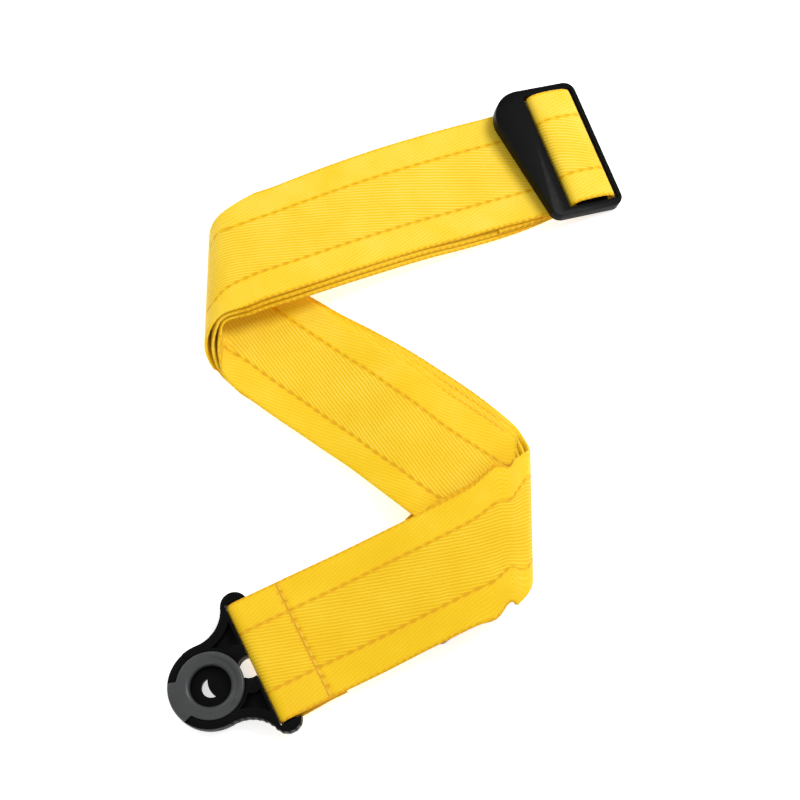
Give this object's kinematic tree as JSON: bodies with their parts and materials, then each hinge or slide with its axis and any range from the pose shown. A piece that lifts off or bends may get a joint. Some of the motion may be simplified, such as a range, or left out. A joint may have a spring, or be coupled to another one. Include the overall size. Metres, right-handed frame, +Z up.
{
  "type": "guitar strap",
  "caption": "Webbing guitar strap folded in a zigzag, with a sliding length adjuster and self-locking strap-button ends with twist-release rings",
  "frame": {"origin": "on the resting plane, under the centre of the bounding box", "axes": "+Z up; the folded strap's long side runs along +Y from the front lock end towards the adjuster; +X to the right of the front view"},
  "size_m": [0.1794, 0.277, 0.0218],
  "materials": {
    "web": "herringbone woven webbing",
    "thread": "sewing thread",
    "black": "moulded plastic, satin",
    "ring": "moulded plastic, satin",
    "steel": "plain steel"
  },
  "bodies": {
    "strap": {"outer_strand": "web", "outer_strand_run": "web", "sewn_strand": "web", "sewn_strand_run": "web", "return_strand": "web", "return_strand_run": "web", "front_loop": "web", "rear_loop": "web", "front_stitching": "thread", "rear_lock_housing": "black", "rear_back_cover": "black", "rear_ring_spring": "steel", "rear_cover_screws": "steel"},
    "adjuster": {"adjuster_frame": "black", "adjuster_wrap": "web", "adjuster_loop": "web", "adjuster_stitching": "thread"},
    "front_lock": {"front_lock_housing": "black", "front_back_cover": "black", "front_ring_spring": "steel", "front_cover_screws": "steel"},
    "front_ring": {"front_release_ring": "ring"},
    "front_jaw_nose": {"front_nose_jaw": "black"},
    "front_jaw_strap": {"front_strap_jaw": "black"},
    "rear_ring": {"rear_release_ring": "ring"},
    "rear_jaw_nose": {"rear_nose_jaw": "black"},
    "rear_jaw_strap": {"rear_strap_jaw": "black"}
  },
  "joints": [
    {"name": "adjuster_slide", "type": "slide", "parent": "strap", "child": "adjuster", "axis": [-0.9363, -0.3407, 0.085], "range_m": [0, 0.03], "deforming": ["outer_strand_run", "sewn_strand_run", "return_strand_run"]},
    {"name": "front_lock_swivel", "type": "hinge", "parent": "strap", "child": "front_lock", "pos_m": [-0.05371, -0.11126, 0.00771], "axis": [-0.4384, 0.8988, 0], "range_deg": [0, 75]},
    {"name": "front_ring_twist", "type": "hinge", "parent": "front_lock", "child": "front_ring", "pos_m": [-0.07319, -0.12076, 0.00762], "axis": [0.0783, 0.0382, -0.9962], "range_deg": [0, 40], "stiffness_Nm_per_rad": 0.02, "springref_deg": -11.46},
    {"name": "front_nose_jaw_slide", "type": "slide", "parent": "front_lock", "child": "front_jaw_nose", "axis": [-0.8954, -0.4367, -0.0872], "range_m": [0, 0.005]},
    {"name": "front_strap_jaw_slide", "type": "slide", "parent": "front_lock", "child": "front_jaw_strap", "axis": [0.8954, 0.4367, 0.0872], "range_m": [0, 0.005]},
    {"name": "rear_ring_twist", "type": "hinge", "parent": "strap", "child": "rear_ring", "pos_m": [0.03174, -0.07196, 0.00609], "axis": [0, 0, -1], "range_deg": [0, 40], "stiffness_Nm_per_rad": 0.02, "springref_deg": -11.46},
    {"name": "rear_nose_jaw_slide", "type": "slide", "parent": "strap", "child": "rear_jaw_nose", "axis": [0.9962, 0.0872, 0], "range_m": [0, 0.005]},
    {"name": "rear_strap_jaw_slide", "type": "slide", "parent": "strap", "child": "rear_jaw_strap", "axis": [-0.9962, -0.0872, 0], "range_m": [0, 0.005]}
  ],
  "couplings": [
    {"joint": "front_ring_twist", "follows": "front_nose_jaw_slide", "rad_per_m": 139.62},
    {"joint": "front_strap_jaw_slide", "follows": "front_nose_jaw_slide", "ratio": 1},
    {"joint": "rear_ring_twist", "follows": "rear_nose_jaw_slide", "rad_per_m": 139.62},
    {"joint": "rear_strap_jaw_slide", "follows": "rear_nose_jaw_slide", "ratio": 1}
  ]
}
